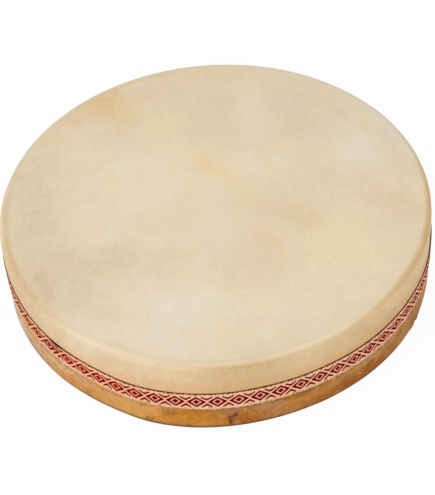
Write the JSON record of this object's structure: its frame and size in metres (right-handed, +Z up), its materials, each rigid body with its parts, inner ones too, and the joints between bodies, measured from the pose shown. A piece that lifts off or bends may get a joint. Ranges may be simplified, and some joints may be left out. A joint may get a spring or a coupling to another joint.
{
  "type": "rain drum",
  "caption": "Shallow frame drum with a hide head on each side of a bent-wood hoop, a woven ribbon over the seam and loose steel balls inside that roll with a sound like rain.",
  "frame": {"origin": "on the drum's axis, in the plane that the lower head rests on", "axes": "+Z up along the drum's axis, from the lower head to the upper; -Y towards the side that the picture shows; +X to its right"},
  "size_m": [0.5011, 0.5011, 0.1],
  "materials": {
    "hoop_wood": "sanded",
    "pale_hide": "dry scraped hide",
    "amber_hide": "dry scraped hide",
    "ribbon_weave": "woven",
    "ball_steel": "polished"
  },
  "bodies": {
    "drum": {"hoop": "hoop_wood", "lower_head": "amber_hide", "upper_head": "pale_hide", "ribbon": "ribbon_weave"},
    "ball_01": {"ball_01": "ball_steel"},
    "ball_02": {"ball_02": "ball_steel"},
    "ball_03": {"ball_03": "ball_steel"},
    "ball_04": {"ball_04": "ball_steel"},
    "ball_05": {"ball_05": "ball_steel"},
    "ball_06": {"ball_06": "ball_steel"},
    "ball_07": {"ball_07": "ball_steel"},
    "ball_08": {"ball_08": "ball_steel"},
    "ball_09": {"ball_09": "ball_steel"},
    "ball_10": {"ball_10": "ball_steel"},
    "ball_11": {"ball_11": "ball_steel"},
    "ball_12": {"ball_12": "ball_steel"},
    "ball_13": {"ball_13": "ball_steel"},
    "ball_14": {"ball_14": "ball_steel"},
    "ball_15": {"ball_15": "ball_steel"},
    "ball_16": {"ball_16": "ball_steel"},
    "ball_17": {"ball_17": "ball_steel"},
    "ball_18": {"ball_18": "ball_steel"},
    "ball_19": {"ball_19": "ball_steel"},
    "ball_20": {"ball_20": "ball_steel"},
    "ball_21": {"ball_21": "ball_steel"},
    "ball_22": {"ball_22": "ball_steel"},
    "ball_23": {"ball_23": "ball_steel"},
    "ball_24": {"ball_24": "ball_steel"},
    "ball_25": {"ball_25": "ball_steel"},
    "ball_26": {"ball_26": "ball_steel"},
    "ball_27": {"ball_27": "ball_steel"},
    "ball_28": {"ball_28": "ball_steel"},
    "ball_29": {"ball_29": "ball_steel"},
    "ball_30": {"ball_30": "ball_steel"},
    "ball_31": {"ball_31": "ball_steel"},
    "ball_32": {"ball_32": "ball_steel"},
    "ball_33": {"ball_33": "ball_steel"},
    "ball_34": {"ball_34": "ball_steel"},
    "ball_35": {"ball_35": "ball_steel"},
    "ball_36": {"ball_36": "ball_steel"},
    "ball_37": {"ball_37": "ball_steel"},
    "ball_38": {"ball_38": "ball_steel"},
    "ball_39": {"ball_39": "ball_steel"},
    "ball_40": {"ball_40": "ball_steel"}
  },
  "joints": [
    {"name": "ball_01_roll", "type": "slide", "parent": "drum", "child": "ball_01", "axis": [1, 0, 0], "range_m": [-0.01078, 0.14322]},
    {"name": "ball_02_roll", "type": "slide", "parent": "drum", "child": "ball_02", "axis": [1, 0, 0], "range_m": [-0.12544, 0.0831]},
    {"name": "ball_03_roll", "type": "slide", "parent": "drum", "child": "ball_03", "axis": [1, 0, 0], "range_m": [-0.0681, 0.18135]},
    {"name": "ball_04_roll", "type": "slide", "parent": "drum", "child": "ball_04", "axis": [1, 0, 0], "range_m": [-0.22744, 0.05526]},
    {"name": "ball_05_roll", "type": "slide", "parent": "drum", "child": "ball_05", "axis": [1, 0, 0], "range_m": [-0.14793, 0.16283]},
    {"name": "ball_06_roll", "type": "slide", "parent": "drum", "child": "ball_06", "axis": [1, 0, 0], "range_m": [-0.04942, 0.28552]},
    {"name": "ball_07_roll", "type": "slide", "parent": "drum", "child": "ball_07", "axis": [1, 0, 0], "range_m": [-0.24176, 0.11427]},
    {"name": "ball_08_roll", "type": "slide", "parent": "drum", "child": "ball_08", "axis": [1, 0, 0], "range_m": [-0.1313, 0.24324]},
    {"name": "ball_09_roll", "type": "slide", "parent": "drum", "child": "ball_09", "axis": [1, 0, 0], "range_m": [-0.34477, 0.04609]},
    {"name": "ball_10_roll", "type": "slide", "parent": "drum", "child": "ball_10", "axis": [1, 0, 0], "range_m": [-0.22434, 0.18091]},
    {"name": "ball_11_roll", "type": "slide", "parent": "drum", "child": "ball_11", "axis": [1, 0, 0], "range_m": [-0.09406, 0.32383]},
    {"name": "ball_12_roll", "type": "slide", "parent": "drum", "child": "ball_12", "axis": [1, 0, 0], "range_m": [-0.32455, 0.10441]},
    {"name": "ball_13_roll", "type": "slide", "parent": "drum", "child": "ball_13", "axis": [1, 0, 0], "range_m": [-0.18775, 0.2508]},
    {"name": "ball_14_roll", "type": "slide", "parent": "drum", "child": "ball_14", "axis": [1, 0, 0], "range_m": [-0.04451, 0.40227]},
    {"name": "ball_15_roll", "type": "slide", "parent": "drum", "child": "ball_15", "axis": [1, 0, 0], "range_m": [-0.28635, 0.16736]},
    {"name": "ball_16_roll", "type": "slide", "parent": "drum", "child": "ball_16", "axis": [1, 0, 0], "range_m": [-0.13904, 0.32038]},
    {"name": "ball_17_roll", "type": "slide", "parent": "drum", "child": "ball_17", "axis": [1, 0, 0], "range_m": [-0.38698, 0.07694]},
    {"name": "ball_18_roll", "type": "slide", "parent": "drum", "child": "ball_18", "axis": [1, 0, 0], "range_m": [-0.23628, 0.231]},
    {"name": "ball_19_roll", "type": "slide", "parent": "drum", "child": "ball_19", "axis": [1, 0, 0], "range_m": [-0.08318, 0.38632]},
    {"name": "ball_20_roll", "type": "slide", "parent": "drum", "child": "ball_20", "axis": [1, 0, 0], "range_m": [-0.33351, 0.1371]},
    {"name": "ball_21_roll", "type": "slide", "parent": "drum", "child": "ball_21", "axis": [1, 0, 0], "range_m": [-0.17892, 0.29169]},
    {"name": "ball_22_roll", "type": "slide", "parent": "drum", "child": "ball_22", "axis": [1, 0, 0], "range_m": [-0.42804, 0.04146]},
    {"name": "ball_23_roll", "type": "slide", "parent": "drum", "child": "ball_23", "axis": [1, 0, 0], "range_m": [-0.27252, 0.19476]},
    {"name": "ball_24_roll", "type": "slide", "parent": "drum", "child": "ball_24", "axis": [1, 0, 0], "range_m": [-0.11817, 0.34576]},
    {"name": "ball_25_roll", "type": "slide", "parent": "drum", "child": "ball_25", "axis": [1, 0, 0], "range_m": [-0.3612, 0.09821]},
    {"name": "ball_26_roll", "type": "slide", "parent": "drum", "child": "ball_26", "axis": [1, 0, 0], "range_m": [-0.20768, 0.24604]},
    {"name": "ball_27_roll", "type": "slide", "parent": "drum", "child": "ball_27", "axis": [1, 0, 0], "range_m": [-0.05774, 0.38904]},
    {"name": "ball_28_roll", "type": "slide", "parent": "drum", "child": "ball_28", "axis": [1, 0, 0], "range_m": [-0.28977, 0.14878]},
    {"name": "ball_29_roll", "type": "slide", "parent": "drum", "child": "ball_29", "axis": [1, 0, 0], "range_m": [-0.14252, 0.28643]},
    {"name": "ball_30_roll", "type": "slide", "parent": "drum", "child": "ball_30", "axis": [1, 0, 0], "range_m": [-0.36096, 0.05693]},
    {"name": "ball_31_roll", "type": "slide", "parent": "drum", "child": "ball_31", "axis": [1, 0, 0], "range_m": [-0.21692, 0.18833]},
    {"name": "ball_32_roll", "type": "slide", "parent": "drum", "child": "ball_32", "axis": [1, 0, 0], "range_m": [-0.08083, 0.31004]},
    {"name": "ball_33_roll", "type": "slide", "parent": "drum", "child": "ball_33", "axis": [1, 0, 0], "range_m": [-0.27653, 0.09802]},
    {"name": "ball_34_roll", "type": "slide", "parent": "drum", "child": "ball_34", "axis": [1, 0, 0], "range_m": [-0.1459, 0.21013]},
    {"name": "ball_35_roll", "type": "slide", "parent": "drum", "child": "ball_35", "axis": [1, 0, 0], "range_m": [-0.02723, 0.30771]},
    {"name": "ball_36_roll", "type": "slide", "parent": "drum", "child": "ball_36", "axis": [1, 0, 0], "range_m": [-0.19044, 0.12032]},
    {"name": "ball_37_roll", "type": "slide", "parent": "drum", "child": "ball_37", "axis": [1, 0, 0], "range_m": [-0.08038, 0.20232]},
    {"name": "ball_38_roll", "type": "slide", "parent": "drum", "child": "ball_38", "axis": [1, 0, 0], "range_m": [-0.20351, 0.04594]},
    {"name": "ball_39_roll", "type": "slide", "parent": "drum", "child": "ball_39", "axis": [1, 0, 0], "range_m": [-0.10164, 0.10691]},
    {"name": "ball_40_roll", "type": "slide", "parent": "drum", "child": "ball_40", "axis": [1, 0, 0], "range_m": [-0.02446, 0.12954]}
  ]
}
